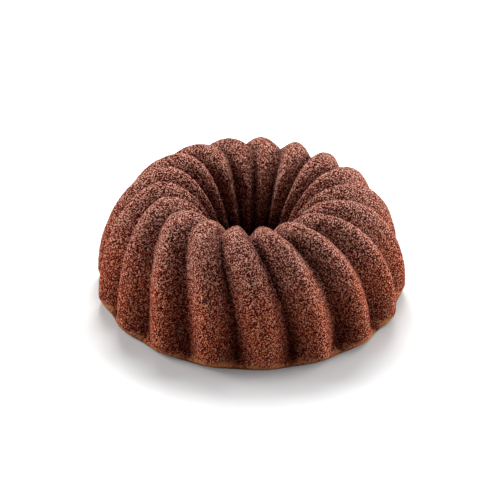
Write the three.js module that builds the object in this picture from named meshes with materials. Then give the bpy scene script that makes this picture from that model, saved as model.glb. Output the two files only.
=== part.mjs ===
// Swirled ring cake, as it comes out of a fluted tube mould and stands on its flat side.
// Its layers are a thin crust that took the shape of the mould, the soft crumb inside it,
// and a plain crust underneath that turns up into a smooth lip round the foot.
// Millimetres, +Z up. The origin is on the axis of the ring, in the plane that it stands on.

import * as THREE from 'three';

const { lerp, smoothstep, degToRad } = THREE.MathUtils;

// Overall form, measured over the crests of the flutes
const DIAMETER = 240; // across the belly of the wall
const HEIGHT = 90; // from the standing plane to the top of the crown
const CROWN_DIAMETER = 140; // of the circle that runs along the top of the ring
const TUBE_DIAMETER = 42; // of the hole, at its foot
const WALL_FULLNESS = 1.84; // of the outer shoulder: 2 is an ellipse, and more is squarer
const THROAT_FULLNESS = 2.06; // the same for the turn into the hole
const FOOT_RADIUS = 9; // of the rounded edge under the wall

// Flutes: round crests that lean over as they climb, with sharp valleys between them on the crown
// and broad ones on the wall
const FLUTE_COUNT = 18;
const LIP_FLUTE_DEPTH = 2.5; // at the top of the lip
const WALL_FLUTE_DEPTH = 13;
const CROWN_FLUTE_DEPTH = 8;
const TUBE_FLUTE_DEPTH = 7.5;
const WALL_SHARPNESS = 1.4; // of a crest: 1 is a half wave, and more widens the valley
const CROWN_SHARPNESS = 0.95;
const FLUTE_RUN_OUT = 4.5; // height over which a valley rises to the lip
const WALL_SWIRL = 15.7; // degrees that a flute turns from the crown to the belly
const TUBE_SWIRL = 4.6; // degrees that it turns on from the crown to the foot of the hole

// Layers
const CRUST_THICKNESS = 2.5;
const BASE_THICKNESS = 2;
const LIP_RISE = 0.6; // of the lip above the top of the base
const LAYER_GAP = 0.3; // between one layer and the next

// Facets. Places round a flute are shares of it, from one crest to the next.
const SHOULDER = 0.145; // of the points beside a crest
const FLANK = 0.355; // of the points beside a valley
const FLUTE_POINTS = [0, SHOULDER, FLANK, 0.5, 1 - FLANK, 1 - SHOULDER];
const FOOT_STEPS = 4;
const WALL_STEPS = 10;
const THROAT_STEPS = 9;
const INNER_FOOT_STEPS = 2;
const INNER_WALL_STEPS = 6;
const INNER_THROAT_STEPS = 5;
const LIP_STEPS = 3;

const BELLY_RADIUS = DIAMETER / 2;
const CROWN_RADIUS = CROWN_DIAMETER / 2;
const TUBE_RADIUS = TUBE_DIAMETER / 2;
const LIP_TOP = BASE_THICKNESS + LIP_RISE;
const CRUST_FOOT = LIP_TOP + LAYER_GAP;
const CRUMB_FOOT = BASE_THICKNESS + LAYER_GAP;
const CRUMB_INSET = CRUST_THICKNESS + LAYER_GAP;
const RING_STEPS = FLUTE_COUNT * FLUTE_POINTS.length;

// The crest radius of the wall, where its foot is rounded under
function footRadius(height) {
  const below = Math.max(1 - height / FOOT_RADIUS, 0);
  return BELLY_RADIUS - FOOT_RADIUS * (1 - Math.sqrt(1 - below * below));
}

// How much of a valley is left at a height: none at the top of the lip, all of it above the run-out
function runOut(height) {
  return smoothstep(height, LIP_TOP, LIP_TOP + FLUTE_RUN_OUT);
}

// The lip has shallow valleys, which deepen over the run-out and fade to nothing underneath
function footDepth(height) {
  if (height < LIP_TOP) {
    return LIP_FLUTE_DEPTH * height / LIP_TOP;
  }
  return lerp(LIP_FLUTE_DEPTH, WALL_FLUTE_DEPTH, runOut(height));
}

// A station is one level of a flute: where its crest lies in section, how deep its valleys are and
// how sharp its crest, how far it has turned, and the way that the surface faces there
function footStation(height) {
  return {
    radius: footRadius(height),
    height,
    depth: footDepth(height),
    sharpness: WALL_SHARPNESS,
    swirl: WALL_SWIRL,
    facing: [1, 0],
  };
}

function wallStation(share) {
  const angle = share * Math.PI / 2;
  const facing = [Math.cos(angle), Math.sin(angle)];
  const [out, up] = facing.map((part) => part ** (2 / WALL_FULLNESS));
  return {
    radius: lerp(CROWN_RADIUS, BELLY_RADIUS, out),
    height: lerp(FOOT_RADIUS, HEIGHT, up),
    depth: lerp(CROWN_FLUTE_DEPTH, WALL_FLUTE_DEPTH, out),
    sharpness: lerp(CROWN_SHARPNESS, WALL_SHARPNESS, out),
    swirl: WALL_SWIRL * facing[0],
    facing,
  };
}

function throatStation(share) {
  const angle = share * Math.PI / 2;
  const facing = [-Math.sin(angle), Math.cos(angle)];
  const [inward, up] = facing.map((part) => Math.abs(part) ** (2 / THROAT_FULLNESS));
  const height = lerp(CRUST_FOOT, HEIGHT, up);
  return {
    radius: lerp(CROWN_RADIUS, TUBE_RADIUS, inward),
    height,
    depth: lerp(CROWN_FLUTE_DEPTH, TUBE_FLUTE_DEPTH, inward) * runOut(height),
    sharpness: CROWN_SHARPNESS,
    swirl: TUBE_SWIRL * facing[0],
    facing,
  };
}

// A level with no flutes
function plainStation(radius, height) {
  return { ...footStation(height), radius, depth: 0 };
}

// The levels of a skin, from the foot of the wall over the crown to the foot of the hole
function skinStations(footSteps, wallSteps, throatSteps) {
  const stations = [];
  for (let i = 0; i < footSteps; i += 1) {
    stations.push(footStation(lerp(CRUST_FOOT, FOOT_RADIUS, i / footSteps)));
  }
  for (let i = 0; i < wallSteps; i += 1) {
    stations.push(wallStation(i / wallSteps));
  }
  for (let i = 0; i <= throatSteps; i += 1) {
    stations.push(throatStation(i / throatSteps));
  }
  return stations;
}

// One level of a skin as a ring of points, pushed in from the crests by the flutes and an inset
function ring(station, inset) {
  const points = [];
  for (let flute = 0; flute < FLUTE_COUNT; flute += 1) {
    for (const place of FLUTE_POINTS) {
      const arch = Math.abs(Math.cos(Math.PI * place)) ** station.sharpness;
      const push = inset + station.depth * (1 - arch);
      const radius = station.radius - station.facing[0] * push;
      const height = station.height - station.facing[1] * push;
      const angle = 2 * Math.PI * (flute + place) / FLUTE_COUNT + degToRad(station.swirl);
      points.push(new THREE.Vector3(radius * Math.cos(angle), radius * Math.sin(angle), height));
    }
  }
  return points;
}

// A closed ring of material: each ring of points is joined to the next, and the last to the first.
// Every four-sided face is split along its shorter diagonal, so parallel skins are split alike.
function loftRings(rings) {
  const points = rings.flat();
  const index = [];
  const corner = (level, step) => (level % rings.length) * RING_STEPS + (step % RING_STEPS);
  for (let level = 0; level < rings.length; level += 1) {
    for (let step = 0; step < RING_STEPS; step += 1) {
      const a = corner(level, step);
      const b = corner(level, step + 1);
      const c = corner(level + 1, step + 1);
      const d = corner(level + 1, step);
      if (points[a].distanceTo(points[c]) < points[b].distanceTo(points[d])) {
        index.push(a, b, c, a, c, d);
      } else {
        index.push(a, b, d, b, c, d);
      }
    }
  }
  const geometry = new THREE.BufferGeometry().setFromPoints(points);
  geometry.setIndex(index);
  geometry.computeVertexNormals();
  return geometry;
}

// The moulded crust: the outer skin, and back under it the skin that the crumb fills
function flutedCrust() {
  const outside = skinStations(FOOT_STEPS, WALL_STEPS, THROAT_STEPS);
  const inside = skinStations(INNER_FOOT_STEPS, INNER_WALL_STEPS, INNER_THROAT_STEPS).reverse();
  return loftRings([
    ...outside.map((station) => ring(station, 0)),
    ...inside.map((station) => ring(station, CRUST_THICKNESS)),
  ]);
}

// The crumb: it fills the crust and reaches down inside the lip to the base
function crumb() {
  const levels = skinStations(INNER_FOOT_STEPS, INNER_WALL_STEPS, INNER_THROAT_STEPS);
  const wallFoot = footStation(CRUMB_FOOT);
  const tubeFoot = { ...levels.at(-1), height: CRUMB_FOOT };
  return loftRings([wallFoot, ...levels, tubeFoot].map((station) => ring(station, CRUMB_INSET)));
}

// The base: a flat ring with a scalloped lip outside and a plain one round the hole, from the hole
// out along the underside, up the lip, and back over the top
function baseCrust() {
  const lip = [];
  for (let i = 0; i <= LIP_STEPS; i += 1) {
    lip.push(footStation(lerp(0, LIP_TOP, i / LIP_STEPS)));
  }
  const tubeLipRadius = TUBE_RADIUS + CRUST_THICKNESS;
  return loftRings([
    ring(plainStation(TUBE_RADIUS, 0), 0),
    ...lip.map((station) => ring(station, 0)),
    ring(footStation(LIP_TOP), CRUST_THICKNESS),
    ring(footStation(BASE_THICKNESS), CRUST_THICKNESS),
    ring(plainStation(tubeLipRadius, BASE_THICKNESS), 0),
    ring(plainStation(tubeLipRadius, LIP_TOP), 0),
    ring(plainStation(TUBE_RADIUS, LIP_TOP), 0),
  ]);
}

const CRUST_LOOK = new THREE.MeshStandardMaterial({ color: 0x6e4234, roughness: 0.9, metalness: 0 });
const CRUMB_LOOK = new THREE.MeshStandardMaterial({ color: 0x4a271c, roughness: 1, metalness: 0 });
const BASE_LOOK = new THREE.MeshStandardMaterial({ color: 0x96592f, roughness: 0.8, metalness: 0 });

function piece(name, geometry, look) {
  const mesh = new THREE.Mesh(geometry, look);
  mesh.name = name;
  return mesh;
}

const cake = new THREE.Group();
cake.add(piece('fluted_crust', flutedCrust(), CRUST_LOOK));
cake.add(piece('crumb', crumb(), CRUMB_LOOK));
cake.add(piece('base_crust', baseCrust(), BASE_LOOK));

export default cake;
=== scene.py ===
"""Swirled chocolate ring cake: its baked crusts, with a pale floor, soft light and a camera.

Metres, +Z up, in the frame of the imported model.
"""
import math

import bpy
import numpy as np
from mathutils import Matrix, Vector


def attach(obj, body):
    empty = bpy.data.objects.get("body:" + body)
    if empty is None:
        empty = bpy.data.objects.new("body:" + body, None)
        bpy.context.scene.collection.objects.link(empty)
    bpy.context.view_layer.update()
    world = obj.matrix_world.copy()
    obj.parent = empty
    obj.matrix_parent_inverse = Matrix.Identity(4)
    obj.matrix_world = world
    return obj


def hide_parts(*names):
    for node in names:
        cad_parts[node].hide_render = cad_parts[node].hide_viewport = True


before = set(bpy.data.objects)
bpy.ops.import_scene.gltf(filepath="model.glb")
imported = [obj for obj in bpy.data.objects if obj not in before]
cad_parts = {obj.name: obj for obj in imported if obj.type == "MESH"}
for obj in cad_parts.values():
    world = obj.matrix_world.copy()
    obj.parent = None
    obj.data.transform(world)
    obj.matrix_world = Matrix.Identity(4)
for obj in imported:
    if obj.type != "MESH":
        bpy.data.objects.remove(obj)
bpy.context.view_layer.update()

# Form of the ring over the crests of its flutes, as the solids have it
BELLY_RADIUS = 0.120
CROWN_RADIUS = 0.070
TUBE_RADIUS = 0.021
HEIGHT = 0.090
WALL_FULLNESS = 1.84
THROAT_FULLNESS = 2.06
FOOT_RADIUS = 0.009

# Flutes
FLUTES = 18
LIP_DEPTH = 0.0025
WALL_DEPTH = 0.013
CROWN_DEPTH = 0.008
TUBE_DEPTH = 0.0075
WALL_SHARPNESS = 1.4
CROWN_SHARPNESS = 0.95
VALLEY_ROUND = 0.03  # softens the bottom of a valley, as a share of the arch
RUN_OUT = 0.0045
WALL_SWIRL = math.radians(15.7)
TUBE_SWIRL = math.radians(4.6)

# Layers. The two crusts meet in the middle of the gap between their solids.
CRUST_THICKNESS = 0.0025
BASE_THICKNESS = 0.002
LIP_TOP = 0.0026
LAYER_GAP = 0.0003
SEAM = LIP_TOP + LAYER_GAP / 2

# Mesh
STEPS_PER_FLUTE = 56
RING_STEPS = FLUTES * STEPS_PER_FLUTE
WALL_ROW = 0.00075
THROAT_ROW = 0.0010
INNER_ROWS = 14
LIP_ROWS = 6
UNDER_ROWS = 8
TUBE_LIP_ROWS = 3
PROFILE_SAMPLES = 4000

# Bands of the map that the crusts are baked on, as shares of its height
WALL_BAND = (0.0, 0.52)
THROAT_BAND = (0.523, 0.955)
INNER_BAND = (0.96, 0.995)
LIP_BAND = (0.0, 0.45)
UNDER_BAND = (0.48, 0.96)

# Stations along a flute, from the seam over the crown to the foot of the hole
BELLY, CROWN, TUBE_FOOT = 1.0, 2.0, 3.0


def smooth(low, high, value):
    t = np.clip((value - low) / (high - low), 0, 1)
    return t * t * (3 - 2 * t)


def blend(a, b, share):
    return a + (b - a) * share


# Noise on a lattice of cells, alike on every run

PRIME_X, PRIME_Y, PRIME_Z, PRIME_SALT = 374761393, 668265263, 2246822519, 3266489917
LOW_BITS = 0xFFFFFF


def lattice_random(cells, salt):
    """A number from 0 to 1 for each cell."""
    cells = cells.astype(np.int64).astype(np.uint32)
    h = cells[..., 0] * np.uint32(PRIME_X) + cells[..., 1] * np.uint32(PRIME_Y)
    h = h + cells[..., 2] * np.uint32(PRIME_Z) + np.uint32(salt * PRIME_SALT % 2 ** 32)
    h = (h ^ (h >> np.uint32(15))) * np.uint32(PRIME_Z)
    h = (h ^ (h >> np.uint32(13))) * np.uint32(PRIME_SALT)
    return ((h ^ (h >> np.uint32(16))) & np.uint32(LOW_BITS)) / float(LOW_BITS)


def swell_noise(points, size, salt):
    """Smooth noise from -1 to 1, with lumps of about that size."""
    scaled = points / size
    base = np.floor(scaled)
    share = scaled - base
    share = share * share * (3 - 2 * share)
    total = np.zeros(len(points))
    for corner in np.ndindex(2, 2, 2):
        weight = np.prod(np.where(corner, share, 1 - share), axis=1)
        total += weight * lattice_random(base + np.array(corner), salt)
    return total * 2 - 1


def grain_noise(points, size, salt):
    """Distance to the nearest of one random point per cell, in cells, and that point's own number."""
    scaled = points / size
    base = np.floor(scaled)
    nearest = np.full(len(points), np.inf)
    number = np.zeros(len(points))
    for step in np.ndindex(3, 3, 3):
        cells = base + np.array(step) - 1
        jitter = np.stack([lattice_random(cells, salt + axis) for axis in (1, 2, 3)], axis=1)
        distance = np.linalg.norm(cells + jitter - scaled, axis=1)
        closer = distance < nearest
        nearest = np.where(closer, distance, nearest)
        number = np.where(closer, lattice_random(cells, salt + 4), number)
    return nearest, number


# The fluted skin

def foot_radius(height):
    below = np.clip(1 - height / FOOT_RADIUS, 0, 1)
    return BELLY_RADIUS - FOOT_RADIUS * (1 - np.sqrt(1 - below * below))


def run_out(height):
    return smooth(LIP_TOP, LIP_TOP + RUN_OUT, height)


def foot_depth(height):
    """Depth of the valleys on the lip and over the run-out above it."""
    above = blend(LIP_DEPTH, WALL_DEPTH, run_out(height))
    return np.where(height < LIP_TOP, LIP_DEPTH * height / LIP_TOP, above)


def crest_line(station):
    """Radius and height of a crest at each station, its valleys' depth, sharpness, swirl and facing."""
    wall = np.clip(station - BELLY, 0, 1) * math.pi / 2
    throat = np.clip(station - CROWN, 0, 1) * math.pi / 2
    out, up = np.cos(wall).clip(0), np.sin(wall).clip(0)
    inward, rest = np.sin(throat).clip(0), np.cos(throat).clip(0)
    wide, high = out ** (2 / WALL_FULLNESS), up ** (2 / WALL_FULLNESS)
    narrow, left = inward ** (2 / THROAT_FULLNESS), rest ** (2 / THROAT_FULLNESS)
    in_foot, in_wall = station < BELLY, station < CROWN
    height = np.where(in_wall, blend(FOOT_RADIUS, HEIGHT, high), blend(SEAM, HEIGHT, left))
    height = np.where(in_foot, blend(SEAM, FOOT_RADIUS, station), height)
    wall_radius = blend(CROWN_RADIUS, BELLY_RADIUS, wide)
    throat_radius = blend(CROWN_RADIUS, TUBE_RADIUS, narrow)
    radius = np.where(in_wall, wall_radius, throat_radius)
    radius = np.where(in_foot, foot_radius(height), radius)
    wall_depth = blend(CROWN_DEPTH, WALL_DEPTH, wide)
    throat_depth = blend(CROWN_DEPTH, TUBE_DEPTH, narrow) * run_out(height)
    depth = np.where(in_wall, wall_depth, throat_depth)
    depth = np.where(in_foot, foot_depth(height), depth)
    sharpness = np.where(in_wall, blend(CROWN_SHARPNESS, WALL_SHARPNESS, wide), CROWN_SHARPNESS)
    swirl = np.where(in_wall, WALL_SWIRL * out, -TUBE_SWIRL * inward)
    facing_out = np.where(in_wall, out, -inward)
    facing_up = np.where(in_wall, up, rest)
    return radius, height, depth, sharpness, swirl, facing_out, facing_up


def arch(steps, sharpness):
    """Height of a flute's section at each step round it: 1 on the crest and near 0 in the valley."""
    wave = np.cos(math.pi * np.arange(steps) * FLUTES / steps)
    return np.minimum(np.sqrt(wave * wave + VALLEY_ROUND ** 2), 1) ** sharpness


def even_stations(first, last, row):
    """Stations from first to last that lie about a row apart on the crest."""
    fine = np.linspace(first, last, PROFILE_SAMPLES)
    radius, height, *_ = crest_line(fine)
    length = np.concatenate([[0], np.cumsum(np.hypot(np.diff(radius), np.diff(height)))])
    count = max(int(length[-1] / row), 2)
    return np.interp(np.linspace(0, length[-1], count + 1), length, fine)


def ring_angles(steps):
    return 2 * math.pi * np.arange(steps) / steps


def round_rows(radius, height, angle):
    """Rows of points round the axis."""
    radius, height, angle = np.broadcast_arrays(radius, height, angle)
    return np.stack([radius * np.cos(angle), radius * np.sin(angle), height], axis=-1)


def skin_rows(stations, steps, inset):
    """Rows of the skin, one for each station, set in from its face."""
    columns = [value[:, None] for value in crest_line(stations)]
    radius, height, depth, sharpness, swirl, out, up = columns
    push = inset + depth * (1 - arch(steps, sharpness))
    return round_rows(radius - out * push, height - up * push, ring_angles(steps) + swirl)


def lip_rows(heights, inset):
    """Rows of the scalloped lip at the given heights."""
    height = np.asarray(heights)[:, None]
    push = inset + foot_depth(height) * (1 - arch(RING_STEPS, WALL_SHARPNESS))
    return round_rows(foot_radius(height) - push, height, ring_angles(RING_STEPS) + WALL_SWIRL)


def plain_rows(radii, heights):
    """Rows without flutes."""
    radius, height = np.asarray(radii)[:, None], np.asarray(heights)[:, None]
    return round_rows(radius, height, ring_angles(RING_STEPS) + WALL_SWIRL)


def row_normals(rows):
    """Outward normals of rows that run round the axis and climb the skin from the foot."""
    along = np.gradient(rows, axis=0)
    around = np.roll(rows, -1, axis=1) - np.roll(rows, 1, axis=1)
    normal = np.cross(around, along)
    return normal / np.linalg.norm(normal, axis=-1, keepdims=True)


# Crumbly relief of the crust

SWELLS = ((0.034, 0.0003), (0.012, 0.0002))  # size and height of the broad unevenness
FINE_SIZE = 0.0016
FINE_HEIGHT = 0.00025
PIT_SIZE = 0.0027  # of the cells that may hold a pit
PIT_DEPTH = 0.0008
PIT_SHARE = 0.8  # of the cells that hold one
PIT_REACH = (0.30, 0.55)  # of a cell, smallest and largest
PIT_CORE = 0.3  # share of its reach that is at full depth
CAVE_SIZE = 0.008  # the same for the few larger holes
CAVE_DEPTH = 0.0012
CAVE_SHARE = 0.3
CAVE_REACH = 0.17
WARP = 0.0006  # by which the pits are pulled out of round
CALM = 0.35  # share of the relief that is left on the smooth lip
CALM_TOP = 0.010
GOLD_TOP = (0.0036, 0.0088)  # height that the golden colour reaches in a valley and on a crest
GOLD_FADE = (0.5, 1.0)  # shares of that height between which it fades
GOLD_PATCHES = ((0.011, 0.0024), (0.0030, 0.0018))  # size and height of what makes its edge ragged
CONTACT_SHADOW_SPAN = (0.0018, 0.0052)  # heights between which the painted contact shadow at the bottom of the lip gives way to golden
WARM_SPAN = (0.035, 0.085)  # heights between which the wall turns from redder to browner
HOLE_SHADE_SPAN = (0.028, 0.062)  # heights between which the painted shade deep in the hole fades to none
VALLEY_SPAN = (0.012, 0.050)  # the same for the painted shade in the valleys of the wall, partly a darker crust there
VALLEY_DARKNESS = (0.92, 0.55)  # strength of the painted valley shade at the foot of a valley and above it, as shares of the hole's
VALLEY_SHARPNESS = (0.8, 2.0)  # of the painted shade's line there

# First salts of the noises, which keep them apart
SWELL_SALT, FINE_SALT, WARP_SALT, PIT_SALT, CAVE_SALT, PATCH_SALT = 0, 20, 21, 30, 40, 50


def layered(points, layers, salt):
    """Smooth noise of several sizes, each times its height."""
    total = np.zeros(len(points))
    for i, (size, height) in enumerate(layers):
        total += swell_noise(points, size, salt + i) * height
    return total


def relief(points):
    """How far the crust stands out at each point, and how much of a pit is there."""
    rise = layered(points, SWELLS, SWELL_SALT)
    rise += swell_noise(points, FINE_SIZE, FINE_SALT) * FINE_HEIGHT
    pull = [swell_noise(points, PIT_SIZE, WARP_SALT + axis) for axis in range(3)]
    bent = points + np.stack(pull, axis=1) * WARP
    near, number = grain_noise(bent, PIT_SIZE, PIT_SALT)
    reach = blend(*PIT_REACH, number / PIT_SHARE)
    pit = (1 - smooth(PIT_CORE * reach, reach, near)) * (number < PIT_SHARE)
    near, number = grain_noise(bent, CAVE_SIZE, CAVE_SALT)
    cave = (1 - smooth(PIT_CORE * CAVE_REACH, CAVE_REACH, near)) * (number < CAVE_SHARE)
    return rise - pit * PIT_DEPTH - cave * CAVE_DEPTH, np.maximum(pit, cave)


def displaced(rows, seam=None):
    """Points of rows pushed out by the relief, and what the material needs to know of each.

    The row at the seam moves straight out, so that the two crusts meet there.
    """
    flat = rows.reshape(-1, 3)
    normals = row_normals(rows)
    if seam is not None:
        normals[seam] = rows[seam] * (1, 1, 0)
        normals[seam] /= np.linalg.norm(normals[seam], axis=-1, keepdims=True)
    across = np.tile(arch(rows.shape[1], 1), len(rows))
    rise, pit = relief(flat)
    calm = blend(CALM, 1, smooth(SEAM, CALM_TOP, flat[:, 2]))
    ragged = flat[:, 2] + layered(flat, GOLD_PATCHES, PATCH_SALT)
    gold = 1 - smooth(*GOLD_FADE, ragged / blend(*GOLD_TOP, across))
    in_hole = np.hypot(flat[:, 0], flat[:, 1]) < CROWN_RADIUS
    warm = np.where(in_hole, 0, 1 - smooth(*WARM_SPAN, flat[:, 2]))
    # Painted contact shadow: darker colour at the bottom of the lip, where it meets the floor
    painted_contact_shadow = np.where(in_hole, 0, 1 - smooth(*CONTACT_SHADOW_SPAN, flat[:, 2]))
    # Painted shade: darker colour deep in the hole and along the valleys, where little light reaches;
    # in the valleys partly a darker crust too
    hole_shade = np.where(in_hole, 1 - smooth(*HOLE_SHADE_SPAN, flat[:, 2]), 0)
    above = smooth(*VALLEY_SPAN, flat[:, 2])
    valley = (1 - across) ** blend(*VALLEY_SHARPNESS, above) * blend(*VALLEY_DARKNESS, above)
    painted_shade = np.maximum(valley, hole_shade)
    points = flat + normals.reshape(-1, 3) * (rise * calm)[:, None]
    return points, {"pit": pit * calm, "gold": gold, "warm": warm, "painted_shade": painted_shade, "painted_contact_shadow": painted_contact_shadow}


# Meshes

def ring_faces(start, rows, steps):
    """Four-sided faces between neighbouring rows, each row a closed ring."""
    level = np.arange(rows - 1)[:, None] * steps
    step = np.arange(steps)[None, :]
    after = (step + 1) % steps
    corners = [level + step, level + after, level + steps + after, level + steps + step]
    return (np.stack(corners, axis=-1).reshape(-1, 4) + start).tolist()


def strip_faces(lower, upper, steps):
    """Faces between two rings of as many steps, by the number of each one's first point."""
    faces = []
    for i in range(steps):
        after = (i + 1) % steps
        faces.append((lower + i, lower + after, upper + after, upper + i))
    return faces


def thin_strip_faces(lower, upper, steps):
    """Faces from a ring of steps to one of half as many."""
    faces = []
    half = steps // 2
    for i in range(half):
        left, middle, right = lower + 2 * i, lower + 2 * i + 1, lower + (2 * i + 2) % steps
        near, far = upper + i, upper + (i + 1) % half
        faces += [(left, middle, near), (middle, far, near), (middle, right, far)]
    return faces


def add_map(mesh, bands):
    """A map to bake on. Each half of the ring lies across the picture, one band above another.

    A band is its rows, the steps of a row, and the band's span. A face that runs past the last step or
    the last band meets the first one there.
    """
    turns = np.concatenate([np.tile(np.arange(steps) / steps, rows) for rows, steps, _ in bands])
    levels = np.concatenate([np.repeat(np.linspace(*span, rows), steps) for rows, steps, span in bands])
    corners = np.empty(len(mesh.loops), np.int32)
    mesh.loops.foreach_get("vertex_index", corners)
    starts = np.empty(len(mesh.polygons), np.int32)
    mesh.polygons.foreach_get("loop_start", starts)
    counts = np.diff(starts, append=len(corners))

    def unrolled(places):
        ends = np.repeat(np.maximum.reduceat(places[corners], starts), counts)
        return places[corners] + (places[corners] < ends - 0.5)

    turn, level = unrolled(turns), unrolled(levels)
    half = np.repeat(np.floor(2 * np.minimum.reduceat(turn, starts)), counts)
    places = np.stack([2 * turn - half, (level + half) / 2], axis=1)
    mesh.uv_layers.new(name="OFBake").data.foreach_set("uv", places.astype(np.float32).ravel())


def add_piece(name, points, faces, values, bands):
    """A smooth mesh piece. Values belong to its first points, and the rest are hidden ones without."""
    mesh = bpy.data.meshes.new(name)
    mesh.from_pydata(points.tolist(), [], faces)
    mesh.shade_smooth()
    add_map(mesh, bands)
    for kind, numbers in values.items():
        full = np.zeros(len(points), np.float32)
        full[:len(numbers)] = numbers
        mesh.attributes.new(kind, "FLOAT", "POINT").data.foreach_set("value", full)
    piece = bpy.data.objects.new(name, mesh)
    bpy.context.scene.collection.objects.link(piece)
    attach(piece, "root")
    return piece


def fluted_crust():
    """The moulded crust as a closed shell, with half as many steps in the throat."""
    half = RING_STEPS // 2
    wall = skin_rows(even_stations(0, CROWN, WALL_ROW), RING_STEPS, 0)
    throat = skin_rows(even_stations(CROWN, TUBE_FOOT, THROAT_ROW)[1:], half, 0)
    inner = skin_rows(np.linspace(TUBE_FOOT, 0, INNER_ROWS), half, CRUST_THICKNESS)
    wall_points, wall_values = displaced(wall, seam=0)
    throat_points, throat_values = displaced(throat)
    first_throat = len(wall_points)
    first_inner = first_throat + len(throat_points)
    points = np.concatenate([wall_points, throat_points, inner.reshape(-1, 3)])
    faces = ring_faces(0, len(wall), RING_STEPS)
    faces += thin_strip_faces(first_throat - RING_STEPS, first_throat, RING_STEPS)
    faces += ring_faces(first_throat, len(throat), half)
    faces += strip_faces(first_inner - half, first_inner, half)
    faces += ring_faces(first_inner, len(inner), half)
    faces += [face[::-1] for face in thin_strip_faces(0, len(points) - half, RING_STEPS)]
    values = {kind: np.concatenate([wall_values[kind], throat_values[kind]]) for kind in wall_values}
    bands = [
        (len(wall), RING_STEPS, WALL_BAND),
        (len(throat), half, THROAT_BAND),
        (len(inner), half, INNER_BAND),
    ]
    piece = add_piece("crust", points, faces, values, bands)
    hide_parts("fluted_crust")
    return piece


def base_crust():
    """The base as a closed shell: up its lip, back over the top, down the hole and out below."""
    lip = lip_rows(np.linspace(0, SEAM, LIP_ROWS), 0)
    lip_points, values = displaced(lip, seam=-1)
    lip_points[:, 2] = np.maximum(lip_points[:, 2], 0)
    tube_top = TUBE_RADIUS + CRUST_THICKNESS
    under = np.linspace(TUBE_RADIUS, foot_radius(0.0), UNDER_ROWS)[1:-1]
    rest = np.concatenate([
        lip_rows([SEAM, BASE_THICKNESS], CRUST_THICKNESS),
        plain_rows([tube_top, tube_top], [BASE_THICKNESS, SEAM]),
        plain_rows([TUBE_RADIUS] * TUBE_LIP_ROWS, np.linspace(SEAM, 0, TUBE_LIP_ROWS)),
        plain_rows(under, np.zeros(len(under))),
    ])
    points = np.concatenate([lip_points, rest.reshape(-1, 3)])
    values["gold"] = np.concatenate([values["gold"], np.ones(rest[..., 0].size)])
    rows = len(lip) + len(rest)
    faces = ring_faces(0, rows, RING_STEPS) + strip_faces((rows - 1) * RING_STEPS, 0, RING_STEPS)
    bands = [(len(lip), RING_STEPS, LIP_BAND), (len(rest), RING_STEPS, UNDER_BAND)]
    piece = add_piece("base", points, faces, values, bands)
    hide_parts("base_crust")
    return piece


# Materials

class Nodes:
    """Short calls for building one material's node tree."""

    def __init__(self, name):
        self.material = bpy.data.materials.new(name)
        self.material.use_nodes = True
        self.tree = self.material.node_tree
        self.shader = self.tree.nodes["Principled BSDF"]

    def put(self, socket, value):
        if isinstance(value, bpy.types.NodeSocket):
            self.tree.links.new(value, socket)
        else:
            socket.default_value = value

    def add(self, kind, links, **settings):
        node = self.tree.nodes.new(kind)
        for key, value in settings.items():
            setattr(node, key, value)
        for socket, value in links.items():
            self.put(node.inputs[socket], value)
        return node

    def shade(self, **links):
        for socket, value in links.items():
            self.put(self.shader.inputs[socket.replace("_", " ")], value)

    def place(self):
        return self.add("ShaderNodeTexCoord", {}).outputs["Object"]

    def math(self, operation, a, b):
        return self.add("ShaderNodeMath", {0: a, 1: b}, operation=operation).outputs[0]

    def sum(self, start, *terms):
        """A number plus each value times its weight."""
        total = start
        for value, weight in terms:
            links = {0: value, 1: weight, 2: total}
            total = self.add("ShaderNodeMath", links, operation="MULTIPLY_ADD").outputs[0]
        return total

    def noise(self, place, size, detail, roughness=0.5):
        links = {"Vector": place, "Scale": 1 / size, "Detail": detail, "Roughness": roughness}
        return self.add("ShaderNodeTexNoise", links).outputs["Fac"]

    def grains(self, place, size):
        links = {"Vector": place, "Scale": 1 / size}
        return self.add("ShaderNodeTexVoronoi", links).outputs["Distance"]

    def number(self, name):
        return self.add("ShaderNodeAttribute", {}, attribute_name=name).outputs["Fac"]

    def ramp(self, value, stops):
        node = self.add("ShaderNodeValToRGB", {"Fac": value})
        elements = node.color_ramp.elements
        while len(elements) < len(stops):
            elements.new(0.5)
        for element, (place, colour) in zip(elements, stops):
            element.position = place
            element.color = (*colour, 1)
        return node.outputs["Color"]

    def mix(self, share, a, b, blend_type="MIX"):
        node = self.add("ShaderNodeMix", {}, data_type="RGBA", blend_type=blend_type)
        colours = [socket for socket in node.inputs if socket.type == "RGBA"]
        self.put(node.inputs["Factor"], share)
        for socket, value in zip(colours, (a, b)):
            self.put(socket, value)
        return next(socket for socket in node.outputs if socket.type == "RGBA")

    def bump(self, height, distance, strength):
        links = {"Height": height, "Strength": strength, "Distance": distance}
        return self.add("ShaderNodeBump", links).outputs["Normal"]


# Grain of the crusts: sizes of its lumps and pores, spacing of pale specks painted as glints, and how
# each counts in the tone
TONE = -1.33
GRAIN_SIZE = 0.0009
GRAIN_DETAIL = 0.5
GRAIN_WEIGHT = 2.8
PORE_SIZE = 0.0012
PORE_WEIGHT = 0.9
BROAD_SIZE = 0.012
BROAD_DETAIL = 2
BROAD_WEIGHT = 0.1
# painted shade: how much the tone darkens in the pits of the relief
PIT_SHADE_WEIGHT = -0.15
# pale specks that are painted glints of light
GLINT_SPACING = 0.0023
GLINT_REACH = 0.2  # of the spacing
GOLDEN_TONE = 0.3
GOLDEN_GRAIN = 0.4  # share of the tone that shows in the golden skin
# how much the painted contact shadow darkens the golden lip at its bottom
CONTACT_SHADOW_WEIGHT = -0.65
CRUST_ROUGHNESS = (0.55, 0.35)  # least, and what the grain adds
CRUST_SHINE = 0.03
CRUST_BUMP = (0.0006, 0.7)  # height and strength

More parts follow.
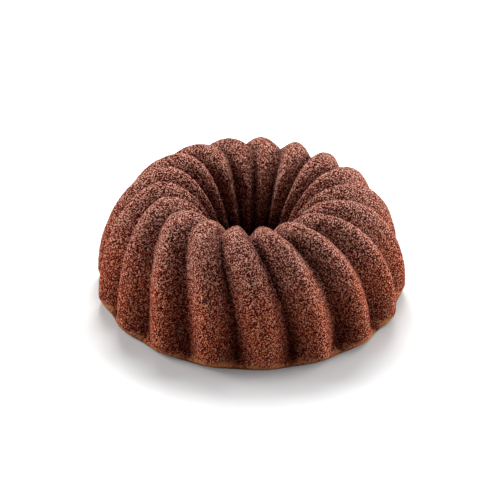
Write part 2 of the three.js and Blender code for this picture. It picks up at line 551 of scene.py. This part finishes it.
# Colours by tone, from the pores to the tops of the crumbs
CROWN_COLOURS = (
    (0.20, (0.018, 0.0004, 0.0002)),
    (0.38, (0.050, 0.0022, 0.0007)),
    (0.50, (0.104, 0.0108, 0.0048)),
    (0.66, (0.225, 0.0500, 0.0280)),
    (0.82, (0.370, 0.1360, 0.0920)),
    (1.00, (0.560, 0.3150, 0.2450)),
)
WALL_COLOURS = (
    (0.20, (0.024, 0.0004, 0.0001)),
    (0.38, (0.066, 0.0017, 0.0004)),
    (0.50, (0.132, 0.0092, 0.0023)),
    (0.66, (0.255, 0.0345, 0.0120)),
    (0.82, (0.410, 0.0980, 0.0440)),
    (1.00, (0.580, 0.2250, 0.1300)),
)
GOLDEN = (
    (0.00, (0.090, 0.0220, 0.0070)),
    (0.25, (0.270, 0.0850, 0.0300)),
    (0.60, (0.420, 0.1500, 0.0580)),
    (1.00, (0.560, 0.2300, 0.1000)),
)
# tint toward which the painted shade in the valleys and deep in the hole multiplies the colour
PAINTED_SHADE_TINT = (0.15, 0.08, 0.07, 1.0)
# colour of the painted glints
GLINT_COLOUR = (0.60, 0.38, 0.31, 1.0)


def baked_material(name):
    """Porous crust: darker between the crumbs, paler on their tops, golden where the skin closed over.
    """
    k = Nodes(name)
    place = k.place()
    fine = k.noise(place, GRAIN_SIZE, GRAIN_DETAIL)
    broad = k.noise(place, BROAD_SIZE, BROAD_DETAIL)
    pores = k.grains(place, PORE_SIZE)
    painted_glints = k.math("LESS_THAN", k.grains(place, GLINT_SPACING), GLINT_REACH)
    pit, gold, warm, painted_shade, painted_contact_shadow = map(k.number, ("pit", "gold", "warm", "painted_shade", "painted_contact_shadow"))
    crumbs = k.sum(0.0, (fine, GRAIN_WEIGHT), (pores, PORE_WEIGHT))
    # The tone darkens in the pits of the relief: painted shade there
    tone = k.sum(TONE, (crumbs, 1.0), (pit, PIT_SHADE_WEIGHT), (broad, BROAD_WEIGHT))
    chocolate = k.mix(warm, k.ramp(tone, CROWN_COLOURS), k.ramp(tone, WALL_COLOURS))
    # Pale painted glints first, then painted shade in the valleys and deep in the hole
    chocolate = k.mix(painted_shade, k.mix(painted_glints, chocolate, GLINT_COLOUR), PAINTED_SHADE_TINT, "MULTIPLY")
    # The golden skin darkens at its bottom by the painted contact shadow
    golden = k.ramp(k.sum(GOLDEN_TONE, (tone, GOLDEN_GRAIN), (painted_contact_shadow, CONTACT_SHADOW_WEIGHT)), GOLDEN)
    least, more = CRUST_ROUGHNESS
    k.shade(
        Base_Color=k.mix(gold, chocolate, golden),
        Roughness=k.sum(least, (fine, more)),
        Specular_IOR_Level=CRUST_SHINE,
        Normal=k.bump(crumbs, *CRUST_BUMP),
    )
    return k.material


# The same for the crumb inside
CRUMB_GRAIN_SIZE = 0.0024
CRUMB_GRAIN_DETAIL = 3
CRUMB_GRAIN_ROUGHNESS = 0.6
CRUMB_PORE_SIZE = 0.0032
CRUMB_WEIGHTS = (0.6, 0.4)  # of the grain and of the pores
CRUMB_ROUGHNESS = (0.75, 0.2)
CRUMB_BUMP = (0.001, 0.8)
CRUMB = (
    (0.25, (0.008, 0.0020, 0.0012)),
    (0.50, (0.065, 0.0190, 0.0110)),
    (0.75, (0.160, 0.0560, 0.0360)),
)


def crumb_material():
    """Open, moist crumb with rounder pores than the crust."""
    k = Nodes("chocolate_crumb")
    place = k.place()
    fine = k.noise(place, CRUMB_GRAIN_SIZE, CRUMB_GRAIN_DETAIL, CRUMB_GRAIN_ROUGHNESS)
    pores = k.grains(place, CRUMB_PORE_SIZE)
    least, more = CRUMB_ROUGHNESS
    k.shade(
        Base_Color=k.ramp(k.sum(0.0, *zip((fine, pores), CRUMB_WEIGHTS)), CRUMB),
        Roughness=k.sum(least, (fine, more)),
        Normal=k.bump(pores, *CRUMB_BUMP),
    )
    return k.material


# Floor, light and camera

FLOOR_SIZE = 8.0
FLOOR_WHITE = (0.78, 0.78, 0.78, 1)  # as the camera sees it
FLOOR_GREY = (0.03, 0.03, 0.03, 1)  # as the cake sees it
FLOOR_ROUGHNESS = 0.9
GLOW_SPAN = (0.145, 0.38)  # distances from the axis over which it turns white to the camera
WHITE = (1, 1, 1, 1)  # of that glow and of the sky
SKY_LIGHT = 0.06

CAMERA_ELEVATION = math.radians(32.06)
CAMERA_ROLL = math.radians(0.74)
CAMERA_DISTANCE = 1.3
CAMERA_TARGET = Vector((-0.0008, 0.0, 0.0317))
FOCAL_PIXELS = 1683.5
FRAME_PIXELS = 500
SENSOR = 36.0

LAMPS = (  # name, place, width, height, power
    ("top_light", (0.0, 0.74, 0.91), 0.6, 0.5, 18.3),
    ("top_right_light", (0.64, 0.37, 0.91), 0.5, 0.5, 4.6),
    ("left_light", (-1.02, 0.25, 0.57), 0.5, 0.5, 8.3),
    ("low_left_light", (-1.13, -0.16, 0.20), 0.7, 0.28, 3.5),
    ("low_left_front_light", (-0.93, -0.65, 0.19), 0.6, 0.28, 6.9),
    ("low_right_light", (1.12, 0.22, 0.19), 0.8, 0.28, 14.0),
    ("low_right_front_light", (1.03, -0.48, 0.19), 0.6, 0.28, 5.7),
)


def seen_directly(tree):
    """1 for what the camera sees, straight, in a reflection or through glass, and 0 for other light."""
    path = tree.nodes.new("ShaderNodeLightPath")
    total = path.outputs["Is Camera Ray"]
    for kind in ("Is Glossy Ray", "Is Transmission Ray"):
        most = tree.nodes.new("ShaderNodeMath")
        most.operation = "MAXIMUM"
        tree.links.new(total, most.inputs[0])
        tree.links.new(path.outputs[kind], most.inputs[1])
        total = most.outputs[0]
    return total


def add_floor():
    mesh = bpy.data.meshes.new("floor")
    half = FLOOR_SIZE / 2
    corners = [(-half, -half, 0), (half, -half, 0), (half, half, 0), (-half, half, 0)]
    mesh.from_pydata(corners, [], [(0, 1, 2, 3)])
    floor = bpy.data.objects.new("floor", mesh)
    bpy.context.scene.collection.objects.link(floor)
    k = Nodes("white_table")
    seen = seen_directly(k.tree)
    far = k.add("ShaderNodeVectorMath", {0: k.place()}, operation="LENGTH").outputs["Value"]
    near_edge, far_edge = GLOW_SPAN
    glow = k.add("ShaderNodeMapRange", {"Value": far, "From Min": near_edge, "From Max": far_edge})
    k.shade(
        Base_Color=k.mix(seen, FLOOR_GREY, FLOOR_WHITE),
        Roughness=FLOOR_ROUGHNESS,
        Specular_IOR_Level=0.0,
        Emission_Color=WHITE,
        Emission_Strength=k.math("MULTIPLY", seen, glow.outputs["Result"]),
    )
    mesh.materials.append(k.material)


def add_sky():
    world = bpy.data.worlds.new("studio")
    bpy.context.scene.world = world
    world.use_nodes = True
    tree = world.node_tree
    sky = tree.nodes["Background"]
    sky.inputs["Color"].default_value = WHITE
    level = tree.nodes.new("ShaderNodeMapRange")
    level.inputs["To Min"].default_value = SKY_LIGHT
    level.inputs["To Max"].default_value = 1.0
    tree.links.new(seen_directly(tree), level.inputs["Value"])
    tree.links.new(level.outputs["Result"], sky.inputs["Strength"])


def add_lamp(name, place, width, height, power):
    """A rectangular area light that faces the middle of the cake."""
    light = bpy.data.lights.new(name, "AREA")
    light.shape = "RECTANGLE"
    light.size, light.size_y = width, height
    light.energy = power
    lamp = bpy.data.objects.new(name, light)
    bpy.context.scene.collection.objects.link(lamp)
    lamp.location = place
    away = Vector(place) - Vector((0, 0, HEIGHT / 2))
    lamp.rotation_euler = away.to_track_quat("Z", "Y").to_euler()


def add_camera():
    camera = bpy.data.cameras.new("camera")
    camera.sensor_width = SENSOR
    camera.lens = SENSOR * FOCAL_PIXELS / FRAME_PIXELS
    view = bpy.data.objects.new("camera", camera)
    bpy.context.scene.collection.objects.link(view)
    back = Vector((0, -math.cos(CAMERA_ELEVATION), math.sin(CAMERA_ELEVATION)))
    view.location = CAMERA_TARGET + CAMERA_DISTANCE * back
    tilt = Matrix.Rotation(math.pi / 2 - CAMERA_ELEVATION, 4, "X")
    view.rotation_euler = (tilt @ Matrix.Rotation(CAMERA_ROLL, 4, "Z")).to_euler()
    bpy.context.scene.camera = view


fluted_crust().data.materials.append(baked_material("chocolate_crust"))
base_crust().data.materials.append(baked_material("golden_crust"))
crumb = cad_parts["crumb"]
crumb.data.materials.clear()
crumb.data.materials.append(crumb_material())

add_floor()
add_sky()
for lamp in LAMPS:
    add_lamp(*lamp)
add_camera()
bpy.context.scene.view_settings.view_transform = "Standard"
